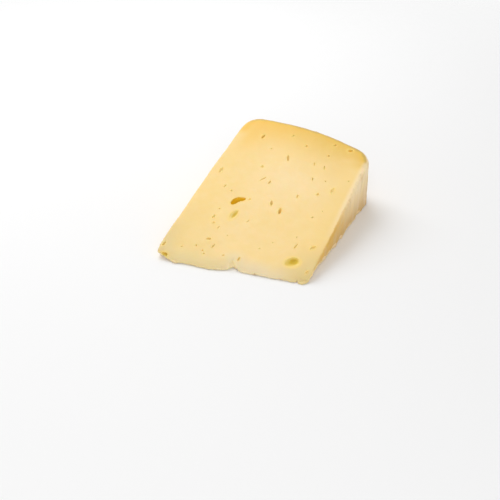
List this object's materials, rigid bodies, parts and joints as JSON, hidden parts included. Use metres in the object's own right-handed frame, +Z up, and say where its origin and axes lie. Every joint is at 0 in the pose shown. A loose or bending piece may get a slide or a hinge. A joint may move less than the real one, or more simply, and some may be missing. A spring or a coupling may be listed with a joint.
{
  "type": "kashar cheese wedge",
  "caption": "Hand-cut wedge of pale yellow semi-hard cheese lying on a cut face, with a ragged thin tip, rounded rind at the back and small eyes and slits in the upper cut.",
  "frame": {"origin": "middle of the wedge's bounding box, on the surface it lies on", "axes": "+X across the wheel from its left flat face to its right one, -Y towards the thin tip, +Y towards the rind, +Z up"},
  "size_m": [0.1146, 0.1698, 0.05],
  "materials": {
    "cheese": "smooth pale yellow cheese paste, slightly moist and waxy, deeper golden towards the rind"
  },
  "bodies": {
    "root": {"cheese_wedge": "cheese"}
  },
  "joints": []
}
